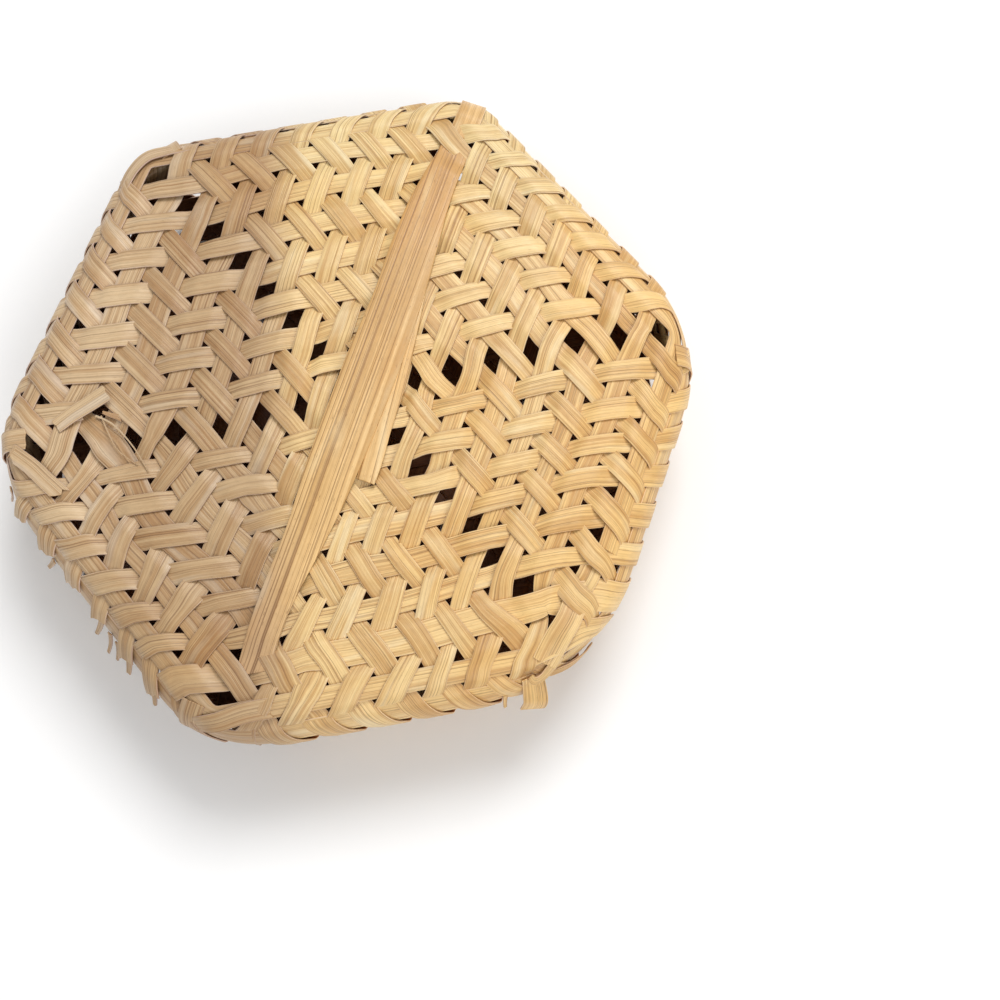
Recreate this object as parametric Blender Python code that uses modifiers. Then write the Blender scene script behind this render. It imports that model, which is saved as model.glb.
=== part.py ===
"""A lidded bamboo basket: a shallow six-sided box plaited from flat bamboo strips.

The lid is made strip by strip. Three families of straight strips cross at 60 degrees, fold down over a rounded
edge and end at the rim, two closed hoops run round the lid in the fold and in the wall, and two wider splints lie
on top along one diagonal. The base is a tray of the same form, one size smaller, that the lid drops over.

Places on a plaited surface are given by three numbers: ring, the distance from the middle in strip spacings; turn,
the way round, eight to a side; and level, the height above the middle of the plait, in layers.
Units are metres, +Z is up, and the origin is on the table under the middle of the base.
"""

import math

import bmesh
import bpy
from mathutils import Vector

# The plait
STRIPS_EACH_SIDE = 7             # strips on either side of the middle, in each of the three families
STRIP_WIDTH = 0.0037
WIDE_STRIP_WIDTH = 0.0042        # the front strip of family a is cut wider
STRIP_THICKNESS = 0.0004
LAYER_GAP = 0.00036              # between one strip and the next one over it

# The lid
LID_INRADIUS = 0.060             # middle of the lid to the middle of a wall
WALL_BEYOND = 1.76               # from the outermost strips to the middle of the wall, in strip spacings
LID_DEPTH = 0.0108               # from the middle of the top's plait down to the rim
LID_EDGE_RADIUS = 0.0075         # the fold between top and wall
LID_CORNER_RADII = (0.030, 0.014, 0.014, 0.032, 0.023, 0.038)   # seen from above, anticlockwise from +X
PLAIT_SHIFT = (0.0019, -0.0002)  # how far the middle of the plait lies off the middle of the lid

# The base
BASE_HEIGHT = 0.0215
BASE_EDGE_RADIUS = 0.0065
SIDE_CLEARANCE = 0.0010          # between base wall and lid wall
SEAT_GAP = 0.0006                # between the base's rim and the fold of the lid that rests on it

# The splints that lie on the lid along family b; along and beside are measured from the middle of the lid
SPLINT_THICKNESS = 0.0005
LONG_SPLINT = ((-0.0495, 0.0034, 0.0056), (-0.029, 0.0035, 0.0072), (-0.015, 0.0035, 0.0092), (0.005, 0.0032, 0.0100),
               (0.020, 0.0029, 0.0092), (0.041, 0.0010, 0.0075), (0.0505, 0.0016, 0.0054))   # (along, beside, width)
SHORT_SPLINT = ((-0.0155, 0.0100, 0.0036), (0.005, 0.0078, 0.0046), (0.032, 0.0040, 0.0040))
SPLINT_SLOPE = 0.007             # the long splint rises over this length before it passes over the short one's end

# How finely the surfaces are divided
BEND_STEP = math.radians(15)     # along a strip, over the rounded edge
HOOP_STEPS_PER_SIDE = 14
TRAY_STEPS_PER_SIDE = 11
LEAST_STEP = 0.0008              # nearer places along a strip are taken as one
SHARP_ANGLE = math.radians(40)
MERGE_DISTANCE = 1e-7

# Finishes: colour, roughness
FINISHES = {
    "bamboo_strip": ((0.66, 0.50, 0.29), 0.50),
    "bamboo_splint": ((0.62, 0.43, 0.22), 0.48),
    "bamboo_plait": ((0.60, 0.45, 0.26), 0.60),
}

# Everything below is worked out from the sizes above.
SIDES = 6
SECTOR = 2 * math.pi / SIDES
FAMILIES = {"a": 0.0, "b": SECTOR, "c": 2 * SECTOR}   # the direction of each family, seen from above
WIDE_STRIP = ("a", -STRIPS_EACH_SIDE)
FOLD_RING = STRIPS_EACH_SIDE + 1                 # the ring whose corners are the corners of the box
WALL_RING = STRIPS_EACH_SIDE + WALL_BEYOND       # the inradius in strip spacings
CROSSING = 1 / math.cos(SECTOR / 2)              # from one crossing to the next along a strip, in spacings
LAYER = STRIP_THICKNESS + LAYER_GAP
HALF_PLAIT = LAYER + STRIP_THICKNESS / 2         # from the middle of the plait to its outer face
BASE_INRADIUS = LID_INRADIUS - 2 * HALF_PLAIT - SIDE_CLEARANCE


def seat_drop():
    """How far below the middle of the lid's top the base's rim lies when it meets the fold from inside."""
    inner_radius = LID_EDGE_RADIUS - HALF_PLAIT
    reach = BASE_INRADIUS + HALF_PLAIT - (LID_INRADIUS - LID_EDGE_RADIUS)
    return LID_EDGE_RADIUS - math.sqrt(inner_radius ** 2 - reach ** 2) + SEAT_GAP


def rounded_hexagon(inradius, corners, turn):
    """A point on a hexagon with rounded corners; turn 0 is the corner on +X, and a side has FOLD_RING turns."""
    side, share = divmod(turn / FOLD_RING, 1)
    start, end = corners[int(side) % SIDES], corners[int(side + 1) % SIDES]
    low = (start - inradius) * math.tan(SECTOR / 2)              # the straight stretch, from the side's middle
    high = (inradius - end) * math.tan(SECTOR / 2)
    along = low + share * (high - low + (start + end) * SECTOR / 2) - start * SECTOR / 2
    corner, turned = 0.0, 0.0
    if along < low:
        corner, turned, along = start, (along - low) / start, low
    elif along > high:
        corner, turned, along = end, (along - high) / end, high
    normal = (side + 0.5) * SECTOR
    out = inradius - corner
    x = out * math.cos(normal) - along * math.sin(normal) + corner * math.cos(normal + turned)
    y = out * math.sin(normal) + along * math.cos(normal) + corner * math.sin(normal + turned)
    return x, y


class Form:
    """The middle surface of a plaited box: a flat six-sided face, a rounded edge and upright walls."""

    def __init__(self, inradius, edge_radius, corner_radii, face_height, up):
        self.pitch = inradius / WALL_RING
        self.edge_radius = edge_radius
        self.corner_radii = corner_radii
        self.flat = inradius - edge_radius
        self.face_height = face_height
        self.up = up                             # 1 where the face is on top, -1 where it is underneath

    def ring_at_bend(self, bend):
        """The ring at which the surface has turned this far from the face."""
        return (self.flat + bend * self.edge_radius) / self.pitch

    def ring_at_depth(self, depth):
        """The ring of the wall that lies this far from the face."""
        return self.ring_at_bend(math.pi / 2) + (depth - self.edge_radius) / self.pitch

    def point(self, ring, turn, level=0.0):
        """The place in space of a ring, a turn and a level."""
        along = ring * self.pitch
        bend = min(max((along - self.flat) / self.edge_radius, 0), math.pi / 2)
        offset = level * LAYER
        radius = min(along, self.flat) + (self.edge_radius + offset) * math.sin(bend)
        corners = [(corner_radius + offset) * math.sin(bend) for corner_radius in self.corner_radii]
        down = self.edge_radius - (self.edge_radius + offset) * math.cos(bend)
        down += max(along - self.flat - self.edge_radius * math.pi / 2, 0)
        x, y = rounded_hexagon(radius, corners, turn)
        return Vector((x, y, self.face_height - self.up * down))


LID = Form(LID_INRADIUS, LID_EDGE_RADIUS, LID_CORNER_RADII, BASE_HEIGHT + seat_drop(), 1)
BASE = Form(BASE_INRADIUS, BASE_EDGE_RADIUS, [radius - LID_INRADIUS + BASE_INRADIUS for radius in LID_CORNER_RADII],
            HALF_PLAIT, -1)


def in_sector(x, y, sector):
    """(ring, place along the side) of a point of the unfolded face, seen from one of the six sides."""
    normal = (sector + 0.5) * SECTOR
    return x * math.cos(normal) + y * math.sin(normal), y * math.cos(normal) - x * math.sin(normal)


class Strip:
    """One strip of the plait, straight on the unfolded surface from rim to rim."""

    def __init__(self, family, index):
        self.family = family
        self.index = index
        self.angle = FAMILIES[family]
        self.width = WIDE_STRIP_WIDTH if (family, index) == WIDE_STRIP else STRIP_WIDTH

    def flat_place(self, along, across=0.0):
        """x and y on the unfolded face, in spacings, of a place along the strip and across it."""
        shift = self.index + across
        cos, sin = math.cos(self.angle), math.sin(self.angle)
        return along * cos - shift * sin, along * sin + shift * cos

    def wall(self, along):
        """The side over which this half of the strip folds."""
        fold = math.copysign((FOLD_RING - abs(self.index) / 2) * CROSSING, along)
        x, y = self.flat_place(fold)
        return math.floor(math.atan2(y, x) / SECTOR) % SIDES

    def along_at_ring(self, ring, way, across=0.0):
        """Where the strip meets a ring of the wall that it folds over, going way = 1 or -1."""
        normal = (self.wall(way) + 0.5) * SECTOR
        shift = self.index + across
        return (ring - shift * math.sin(normal - self.angle)) / math.cos(normal - self.angle)

    def on_surface(self, along, across):
        """(ring, turn) of a place on the strip. Past the fold it keeps to the side that it folded over."""
        x, y = self.flat_place(along, across)
        sector = self.wall(along)
        if in_sector(x, y, sector)[0] < FOLD_RING:
            sector = math.floor(math.atan2(y, x) / SECTOR) % SIDES
            settled = (in_sector(x, y, sector)[0] / FOLD_RING) ** 2     # 0 in the middle, 1 at the fold
            x += (1 - settled) * PLAIT_SHIFT[0] / LID.pitch
            y += (1 - settled) * PLAIT_SHIFT[1] / LID.pitch
            sector = math.floor(math.atan2(y, x) / SECTOR) % SIDES
        ring, beside = in_sector(x, y, sector)
        half_side = min(ring, FOLD_RING) * math.tan(SECTOR / 2)
        return ring, (sector + 0.5 + beside / (2 * half_side)) * FOLD_RING

    def follows(self, sector):
        """Whether the strip runs along this side, in the middle layer of its rings."""
        return round(math.cos(self.angle - (sector + 0.5) * SECTOR), 3) == 0

    def level_at(self, along):
        """The layer of the strip at a crossing.

        Beside a side that it follows the strip stays in the middle. Elsewhere it leans outwards, and of the two
        strips that lean there the one that leans clockwise is on top in the even rings, the other in the odd ones.
        """
        x, y = self.flat_place(along)
        rings = [in_sector(x, y, sector)[0] for sector in range(SIDES)]
        wall = self.wall(along)
        if rings[wall] > FOLD_RING - 0.5:
            sectors = [wall]
        else:
            nearest = round(2 * max(rings))
            sectors = [s for s in range(SIDES) if round(2 * rings[s]) == nearest and not self.follows(s)]
        if not sectors:
            return 0
        outward = self.angle + (0 if math.cos(self.angle - (sectors[0] + 0.5) * SECTOR) > 0 else math.pi)
        clockwise = math.sin(outward - (sectors[0] + 0.5) * SECTOR) < 0
        return 1 if clockwise == (round(rings[sectors[0]]) % 2 == 0) else -1

    def crossings(self):
        """The places along the strip at which it crosses others, to the wall hoop at each end."""
        half = self.index % 2 / 2
        most = FOLD_RING + 1 - abs(self.index) / 2
        return [(n + half) * CROSSING for n in range(-2 * FOLD_RING, 2 * FOLD_RING) if abs(n + half) <= most]

    def level_run(self, pitch):
        """[(along, level)] at which the strip starts or ends a stretch in one layer."""
        run = []
        for along in self.crossings():
            crosses_wide = self.family != WIDE_STRIP[0] and round(self.flat_place(along)[1]) == WIDE_STRIP[1]
            other = WIDE_STRIP_WIDTH if crosses_wide else STRIP_WIDTH
            reach = (other / math.sin(SECTOR) + self.width / math.tan(SECTOR)) / 2 / pitch
            level = self.level_at(along)
            if run and run[-1][1] == level:
                run.pop()
                run.append((along + reach, level))
            else:
                run += [(along - reach, level), (along + reach, level)]
        return run

    def stations(self, form, rim_ring):
        """[(along at one edge, along at the other, level)] of the cross lines that draw the strip."""
        run = self.level_run(form.pitch)
        bends = [form.ring_at_bend(n * BEND_STEP) for n in range(round(math.pi / 2 / BEND_STEP) + 1)]
        half = self.width / 2 / form.pitch
        least = LEAST_STEP / form.pitch
        places = [along for along, _ in run]
        for way in (-1, 1):
            for along in (self.along_at_ring(ring, way) for ring in bends):
                if min(abs(along - place) for place in places) > least:
                    places.append(along)
        ends = [[self.along_at_ring(rim_ring, way, across) for across in (-half, half)] for way in (-1, 1)]
        low, high = max(ends[0]) + least, min(ends[1]) - least
        inner = [(along, along, level_between(run, along)) for along in sorted(places) if low < along < high]
        return [(*ends[0], inner[0][2]), *inner, (*ends[1], inner[-1][2])]


def level_between(run, along):
    """The level at a place between the ends of a run's stretches."""
    for (start, low), (end, high) in zip(run, run[1:]):
        if start <= along <= end:
            return low + (high - low) * (along - start) / (end - start)
    return run[0][1] if along < run[0][0] else run[-1][1]


def clear_scene():
    for obj in list(bpy.data.objects):
        bpy.data.objects.remove(obj, do_unlink=True)


def finish(name):
    """The material of a finish, made on first use."""
    if name in bpy.data.materials:
        return bpy.data.materials[name]
    colour, roughness = FINISHES[name]
    material = bpy.data.materials.new(name)
    material.use_nodes = True
    shader = material.node_tree.nodes["Principled BSDF"]
    shader.inputs["Base Color"].default_value = (*colour, 1)
    shader.inputs["Roughness"].default_value = roughness
    shader.inputs["Metallic"].default_value = 0
    return material


def add_sheet(name, bm, thickness, finish_name, collection):
    """A node from an open surface, given its thickness equally to both sides."""
    mesh = bpy.data.meshes.new(name)
    bm.to_mesh(mesh)
    bm.free()
    mesh.shade_smooth()
    mesh.set_sharp_from_angle(angle=SHARP_ANGLE)
    mesh.materials.append(finish(finish_name))
    obj = bpy.data.objects.new(name, mesh)
    collection.objects.link(obj)
    solid = obj.modifiers.new("thickness", "SOLIDIFY")
    solid.thickness = thickness
    solid.offset = 0
    solid.use_even_offset = True
    return obj


def grid_surface(columns, rows, place):
    """A grid whose point in a column and a row is moved to place(column, row)."""
    bm = bmesh.new()
    bmesh.ops.create_grid(bm, x_segments=columns - 1, y_segments=rows - 1, size=1)
    for vertex in bm.verts:
        column = round((vertex.co.x + 1) / 2 * (columns - 1))
        row = round((vertex.co.y + 1) / 2 * (rows - 1))
        vertex.co = place(column, row)
    return bm


def closed_band(form, rings, steps_per_side):
    """A band that runs right round the form, through the given rings."""
    columns = SIDES * steps_per_side + 1
    bm = grid_surface(columns, len(rings), lambda column, row: form.point(
        rings[-1 - row], (column % (columns - 1)) / steps_per_side * FOLD_RING))
    bmesh.ops.remove_doubles(bm, verts=bm.verts, dist=MERGE_DISTANCE)
    return bm


def make_lid_strip(family, index, number, collection):
    strip = Strip(family, index)
    half = strip.width / 2 / LID.pitch
    stations = strip.stations(LID, LID.ring_at_depth(LID_DEPTH))

    def place(column, row):
        along, level = stations[column][row], stations[column][2]
        return LID.point(*strip.on_surface(along, (-half, half)[row]), level)

    bm = grid_surface(len(stations), 2, place)
    add_sheet(f"lid_{family}_strip_{number:02d}", bm, STRIP_THICKNESS, "bamboo_strip", collection)


def make_lid_hoop(name, ring, collection):
    half = STRIP_WIDTH / 2 / LID.pitch
    bm = closed_band(LID, (ring - half, ring, ring + half), HOOP_STEPS_PER_SIDE)
    add_sheet(name, bm, STRIP_THICKNESS, "bamboo_strip", collection)


def outline_at(outline, along):
    """(beside, width) of an outline at a place along it."""
    for (start, *low), (end, *high) in zip(outline, outline[1:]):
        if start <= along <= end:
            share = (along - start) / (end - start)
            return [a + (b - a) * share for a, b in zip(low, high)]
    return outline[-1][1:]


def make_splint(name, outline, height, slants, collection):
    """A flat splint along family b; height(along) is the height of its middle, slants turn its ends to the strips."""
    angle = FAMILIES["b"]
    ends = {0: slants[0], len(outline) - 1: slants[1]}

    def place(column, row):
        along, beside, width = outline[column]
        across = width * (row - 0.5) - beside
        along += ends.get(column, 0) * across / math.tan(SECTOR)
        return Vector((along * math.cos(angle) - across * math.sin(angle),
                       along * math.sin(angle) + across * math.cos(angle), height(along)))

    bm = grid_surface(len(outline), 2, place)
    add_sheet(name, bm, SPLINT_THICKNESS, "bamboo_splint", collection)


def make_splints(collection):
    on_plait = LID.face_height + HALF_PLAIT + LAYER_GAP + SPLINT_THICKNESS / 2
    pile = SPLINT_THICKNESS + LAYER_GAP
    short_start, short_end = SHORT_SPLINT[0][0], SHORT_SPLINT[-1][0]

    def climb(along):
        """How far the long splint has risen over the short one, from 0 to 1, a little before it and after it."""
        rise = (along - short_start) / SPLINT_SLOPE + 1.5
        fall = (short_end - along) / SPLINT_SLOPE + 1.5
        return min(max(rise, 0), max(fall, 0), 1)

    bends = [short_start - SPLINT_SLOPE * 1.5, short_start - SPLINT_SLOPE * 0.5,
             short_end + SPLINT_SLOPE * 0.5, short_end + SPLINT_SLOPE * 1.5]
    places = sorted({along for along, _, _ in LONG_SPLINT} | set(bends))
    outline = [(along, *outline_at(LONG_SPLINT, along)) for along in places]
    make_splint("lid_long_splint", outline, lambda along: on_plait + pile * climb(along), (-1, 1), collection)
    make_splint("lid_short_splint", SHORT_SPLINT, lambda along: on_plait, (0, 0), collection)


def make_base(collection):
    """The base tray: a flat floor, a rounded edge and walls up to a level rim."""
    bends = [BASE.ring_at_bend(n * BEND_STEP) for n in range(round(math.pi / 2 / BEND_STEP) + 1)]
    rings = [*bends, BASE.ring_at_depth(BASE_HEIGHT - HALF_PLAIT)]
    bm = closed_band(BASE, rings[::-1], TRAY_STEPS_PER_SIDE)
    floor = [edge for edge in bm.edges if edge.is_boundary and edge.verts[0].co.z < BASE_EDGE_RADIUS / 2]
    bmesh.ops.contextual_create(bm, geom=floor)
    bmesh.ops.recalc_face_normals(bm, faces=bm.faces)
    add_sheet("base_tray", bm, 2 * HALF_PLAIT, "bamboo_plait", collection)


def main():
    clear_scene()
    basket = bpy.data.collections.new("lidded_bamboo_basket")
    bpy.context.scene.collection.children.link(basket)
    make_base(basket)
    for family in FAMILIES:
        indices = [*range(-STRIPS_EACH_SIDE, 0), *range(1, STRIPS_EACH_SIDE + 1)]
        for number, index in enumerate(indices, 1):
            make_lid_strip(family, index, number, basket)
    make_lid_hoop("lid_fold_hoop", FOLD_RING, basket)
    make_lid_hoop("lid_wall_hoop", FOLD_RING + 1, basket)
    make_splints(basket)


if __name__ == "__main__":
    main()
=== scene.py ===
"""Looks of the lidded bamboo basket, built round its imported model.

Every strip of the lid and of the base is a thin ribbon that follows the plait's rule: three families of
strips cross at 60 degrees, the strip that runs along the nearest side lies in the middle layer, and the two
that lean pass over and under it in turn. At the rims the ribbons turn back inside.
"""

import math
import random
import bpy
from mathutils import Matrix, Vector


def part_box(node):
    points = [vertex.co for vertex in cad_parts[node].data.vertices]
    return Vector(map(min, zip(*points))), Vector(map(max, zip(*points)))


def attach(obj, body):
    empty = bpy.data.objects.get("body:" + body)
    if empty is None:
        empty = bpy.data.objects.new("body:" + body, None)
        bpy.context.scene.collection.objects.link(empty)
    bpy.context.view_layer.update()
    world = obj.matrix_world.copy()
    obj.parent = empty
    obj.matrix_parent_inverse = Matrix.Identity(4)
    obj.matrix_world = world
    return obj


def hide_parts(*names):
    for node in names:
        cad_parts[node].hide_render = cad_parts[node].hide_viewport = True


bl_info = {
    "name": "Lidded bamboo basket",
    "version": (1, 0, 0),
    "blender": (4, 5, 0),
    "location": "3D View > Sidebar > Basket",
    "description": "Builds a six-sided basket of plaited bamboo strips with its lid, splints and stage",
    "category": "Add Mesh",
}

import bpy
from bpy.props import FloatProperty, FloatVectorProperty, PointerProperty
from mathutils import Matrix, Vector, noise

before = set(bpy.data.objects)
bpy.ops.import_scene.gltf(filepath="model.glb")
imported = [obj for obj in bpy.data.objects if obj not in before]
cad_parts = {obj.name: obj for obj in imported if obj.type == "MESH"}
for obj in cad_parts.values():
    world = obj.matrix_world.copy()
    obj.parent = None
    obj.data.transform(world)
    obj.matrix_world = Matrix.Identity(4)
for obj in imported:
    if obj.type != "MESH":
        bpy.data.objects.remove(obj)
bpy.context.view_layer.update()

MM = 0.001

# The plait. Places on it are in strip spacings: a ring is a distance from the middle towards a side. Turns
# run round the box, FOLD_RING to a side, anticlockwise from the corner on +X, as the corner radii below do
STRIPS_EACH_SIDE = 7
SIDES = 6
SECTOR = 2 * math.pi / SIDES
FAMILIES = {"a": 0.0, "b": SECTOR, "c": 2 * SECTOR}
FOLD_RING = STRIPS_EACH_SIDE + 1
WALL_RING = STRIPS_EACH_SIDE + 1.76
CROSSING = 1 / math.cos(SECTOR / 2)     # from one crossing to the next along a strip
WIDE_STRIP = ("a", -STRIPS_EACH_SIDE)

# Sizes of the two boxes, read from the frame where they show there
CAD_HALF_PLAIT = 0.96 * MM
LID_EDGE_RADIUS = 7.5 * MM
BASE_EDGE_RADIUS = 6.5 * MM
LID_CORNER_RADII = (30.0 * MM, 14.0 * MM, 14.0 * MM, 32.0 * MM, 23.0 * MM, 38.0 * MM)
BASE_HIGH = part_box("base_tray")[1]
LID_LOW, LID_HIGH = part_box("lid_c_strip_03")
LID_FACE_HEIGHT = LID_HIGH.z - CAD_HALF_PLAIT
LID_INRADIUS = LID_HIGH.y - CAD_HALF_PLAIT
BASE_INRADIUS = BASE_HIGH.y - CAD_HALF_PLAIT
LID_DEPTH = LID_FACE_HEIGHT - LID_LOW.z

# The lid's plait is uneven: its middle lies off the lid's, and it is drawn in one way and out the other
PLAIT_SHIFT = Vector((1.88, -0.23)) * MM
PLAIT_DRAW = Matrix(((-0.083, -0.013), (0.081, -0.011)))

# Places where it is pulled further, as (x, y, reach, pull in x, pull in y), in millimetres on the lid's face
PULLS = ((-2, 50, 26, 0.6, 1.2), (32, 24, 24, 1.6, 0.7), (48, 4, 12, 1.2, -0.3), (-22, 6, 20, 0.4, -0.8),
         (-40, -20, 14, -1.0, 0.0), (-17, -32, 20, 1.2, 0.3), (40, -36, 22, -0.8, 1.3),
         (-36, -42, 12, -0.3, 1.0), (-57, -2, 12, 1.4, -1.8), (14, 4, 34, 0.1, -1.2), (-32, 2, 26, 0.7, -0.3),
         (-12, -14, 18, 0.8, -0.3), (-38, -16, 12, -1.3, 0.3), (20, -44, 20, -0.9, 0.9),
         (34, -50, 18, -1.0, 1.2), (44, -32, 20, 0.2, 1.0), (1, -48, 14, 1.3, 0.0), (-30, 31, 18, -0.7, 0.1),
         (38, 16, 16, 0.7, 0.0), (-48, -29, 10, 0.9, -0.3), (2, 46, 26, 0.1, 0.7), (-46, 14, 16, 0.2, -0.9),
         (-30, -32, 16, 0.2, -0.8), (32, -14, 18, 0.3, -0.6), (-6, -28, 12, 0.3, 0.6),
         (58, -16, 10, -1.1, 0.3), (25, -51, 9, 1.7, 0.0))
# Holes where strips have parted, or closed up where the last number is negative: (x, y, by how much)
HOLES = ((-47, -1, 0.95), (11, -17, 0.65), (25, -43, 0.35), (37, -42, -0.4), (-55, -17, 0.8), (-15, -51, 1.2),
         (-33, -32, 0.8), (-30, -38, 0.8), (-24, -16, 0.8), (-18, -44, 0.6), (-19, -31, 0.8), (-24, -40, 0.7),
         (56, 6, 0.3), (-6, 9, -0.6), (58, 0, -0.9), (19.6, -0.3, 0.85), (30, 53, -1.2), (12, -2, -0.8),
         (-24, 44, -0.3), (-40, -1, -0.5), (44, 8, 0.3), (28.5, -49.5, -0.9), (-16, -3, 0.3),
         (24.7, -42.8, 0.3))
HOLE_REACH = 8.5 * MM
HOLE_HEART = 0.5 * MM            # the push away from a hole's middle fades this near to it

# The strip that is broken on the lid, and the stretch that has come out, in strip spacings along it
BROKEN_STRIP = ("a", 1)
BREAK = (-7.3, -6.1)

# The ends that hang out untucked over one side of the lid: their family and side, and between which turns
UNTUCKED = ("b", 3)
UNTUCKED_TURNS = (24.6, 30.2)
UNTUCKED_FROM = 0.3              # how far past the fold they come free
UNTUCKED_LENGTH = (0.7, 1.25)    # how far past the fold they end
UNTUCKED_RAG = 0.16
UNTUCKED_LIFT = 2.0

# The fold hoop's two ends cross at one corner of the lid; between these turns it lies off the fold
HOOP_GAP = (39.3, 42.3)
WALL_HOOP_WIDER = 1.5
WALL_HOOP_RING = FOLD_RING + 0.92

# How finely a ribbon is divided, in strip spacings
STEP = 0.055
RIM_STEP = 0.016
RIM_REACH = 0.45                 # how far from the rim its finer steps start
COLUMNS = 4
SPLINT_COLUMNS = 8
HOOP_STEPS_PER_SIDE = 110
SPLINT_STEPS = 160
SCRAP_STEPS = 16                 # from one point of a scrap's path to the next
SHARP = math.radians(50)         # a sharper edge is bevelled and not smoothed

# How a strip climbs over others, and comes back inside the rim at a level that goes by its last crossing's
SOFTNESS = 1.1                   # a climb's length against the free length between two strips
TUCK = 0.9                       # how far it comes back inside the rim
TUCK_LEVELS = {1: -3.1, -1: -2.1}

# How strips differ from each other, and how fine the wavers of their edges, lines and torn ends are
WIDTH_DRAW = (0.91, 1.07)        # shares of the common width
WAVER = 0.07                     # of a strip's width, along it
WAVER_SCALE = 0.6
SWAY_SCALE = 0.11
RAG_SCALE = 4.5
TORN_SCALE = 2.7
SEED_STEP = 0.37                 # from one strip's fibre pattern to the next one's, in metres

# The first seed of each group of pieces, and how many a family of strips has
LID_SEED = 100
LID_HOOP_SEED = 190
BASE_SEED = 300
BASE_HOOP_SEED = 380
SPLINT_SEED = 500
FRAY_SEED = 620
CORNER_SEED = 640
FAMILY_SEEDS = 20

# The tone of the strips, from 0, pale, to 1, deep. Each family's tone is painted light, for the light that
# falls differently on fibres running each way; the spread between strips is random
PAINTED_LIGHT_FAMILY_TONES = {"a": 0.33, "b": 0.5, "c": 0.62}
TONE_SPREAD = 0.22
SPLINT_DEEPER = 0.012            # how the splints' tone deepens towards the back, by the millimetre

# Painted shadow: the bamboo is darker and browner beyond a slanting border on the -X side, and painted light
# makes it lighter again by the rim
PAINTED_SHADOW_BORDER = (-0.017, -0.006)
PAINTED_SHADOW_SLANT = -0.134
PAINTED_SHADOW_TINT = (0.63, 0.60, 0.69)
PAINTED_RIM_LIGHT = (-0.048, -0.034)
PAINTED_RIM_LIGHT_SLANT = -0.25
PAINTED_RIM_LIGHT_TINT = (0.78, 0.79, 1.0)

# Patches of the bamboo are more orange at random, and more of them towards +X, which is painted warm light on
# that side
WARM_SCALE = 38.0
WARM_TINT = (1.0, 0.93, 0.80)
PAINTED_WARM_LIGHT_ALONG_X = 3.0
WARM_REACH = (0.48, 0.68)

# Painted sheen: the strips at the far end are lightened and less saturated, as a sheen of light on them
PAINTED_SHEEN_BORDER = (0.012, 0.05)
PAINTED_SHEEN_TINT = (1.0, 1.08, 1.17)

# Painted shade: the inner faces of both boxes are darkened to a deep brown, for the shade inside the boxes
PAINTED_SHADE_INSIDE_TINT = (0.44, 0.23, 0.135)


class BasketSizes(bpy.types.PropertyGroup):
    """Sizes of the strips that a user would change."""

    strip_width: FloatProperty(name="Strip width", description="Width of a common strip",
                               default=3.85 * MM, unit="LENGTH")
    base_strip_width: FloatProperty(name="Base strip width", description="Width of a strip of the base",
                                    default=4.7 * MM, unit="LENGTH")
    wide_strip_width: FloatProperty(name="Wide strip width", description="Width of the front strip",
                                    default=4.9 * MM, unit="LENGTH")
    strip_thickness: FloatProperty(name="Strip thickness", description="Thickness of every strip",
                                   default=0.32 * MM, unit="LENGTH")
    layer: FloatProperty(name="Layer", description="From the middle of a strip to that of the one on it",
                         default=0.42 * MM, unit="LENGTH")
    edge_bevel: FloatProperty(name="Edge bevel", description="Rounding of a strip's long edges",
                              default=0.09 * MM, unit="LENGTH")
    sway: FloatProperty(name="Sway", description="How far a strip wanders from its line", default=0.22 * MM,
                        unit="LENGTH")
    splint_thickness: FloatProperty(name="Splint thickness", description="Thickness of the splints",
                                    default=0.5 * MM, unit="LENGTH")


class BasketColours(bpy.types.PropertyGroup):
    """Colours of the bamboo and the floor."""

    pale: FloatVectorProperty(name="Pale bamboo", description="Colour of the palest fibres", subtype="COLOR",
                              min=0, max=1, default=(0.88, 0.63, 0.29))
    deep: FloatVectorProperty(name="Deep bamboo", description="Colour of the darkest fibres", subtype="COLOR",
                              min=0, max=1, default=(0.58, 0.33, 0.115))
    line: FloatVectorProperty(name="Fibre lines", description="Colour of the dark fibre lines",
                              subtype="COLOR", min=0, max=1, default=(0.26, 0.115, 0.03))
    # The cut edges' own lighter colour, which also stands in as a painted highlight where the edges catch the
    # light
    cut: FloatVectorProperty(name="Cut edge", description="Colour of the strips' cut edges", subtype="COLOR",
                             min=0, max=1, default=(0.84, 0.63, 0.42))
    # Painted glints: pale satin patches in the colour that stand in for highlights
    painted_glint: FloatVectorProperty(name="Painted glints", description="Colour of the palest, painted glint patches",
                               subtype="COLOR", min=0, max=1, default=(0.95, 0.80, 0.50))
    splint_pale: FloatVectorProperty(name="Splint, pale", description="Colour of the splints' palest fibres",
                                     subtype="COLOR", min=0, max=1, default=(0.84, 0.55, 0.24))
    splint_deep: FloatVectorProperty(name="Splint, deep", description="Colour of the splints' darkest fibres",
                                     subtype="COLOR", min=0, max=1, default=(0.58, 0.33, 0.11))
    floor: FloatVectorProperty(name="Floor", description="Colour of the floor", subtype="COLOR",
                               min=0, max=1, default=(0.94, 0.94, 0.94))


def rounded_hexagon(inradius, corners, turn):
    """A point on a hexagon with rounded corners, at a turn round it."""
    side, share = divmod(turn / FOLD_RING, 1)
    start, end = corners[int(side) % SIDES], corners[int(side + 1) % SIDES]
    low = (start - inradius) * math.tan(SECTOR / 2)
    high = (inradius - end) * math.tan(SECTOR / 2)
    along = low + share * (high - low + (start + end) * SECTOR / 2) - start * SECTOR / 2
    corner, turned = 0.0, 0.0
    if along < low:
        corner, turned, along = start, (along - low) / start, low
    elif along > high:
        corner, turned, along = end, (along - high) / end, high
    normal = (side + 0.5) * SECTOR
    out = inradius - corner
    x = out * math.cos(normal) - along * math.sin(normal) + corner * math.cos(normal + turned)
    y = out * math.sin(normal) + along * math.cos(normal) + corner * math.sin(normal + turned)
    return x, y


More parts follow.
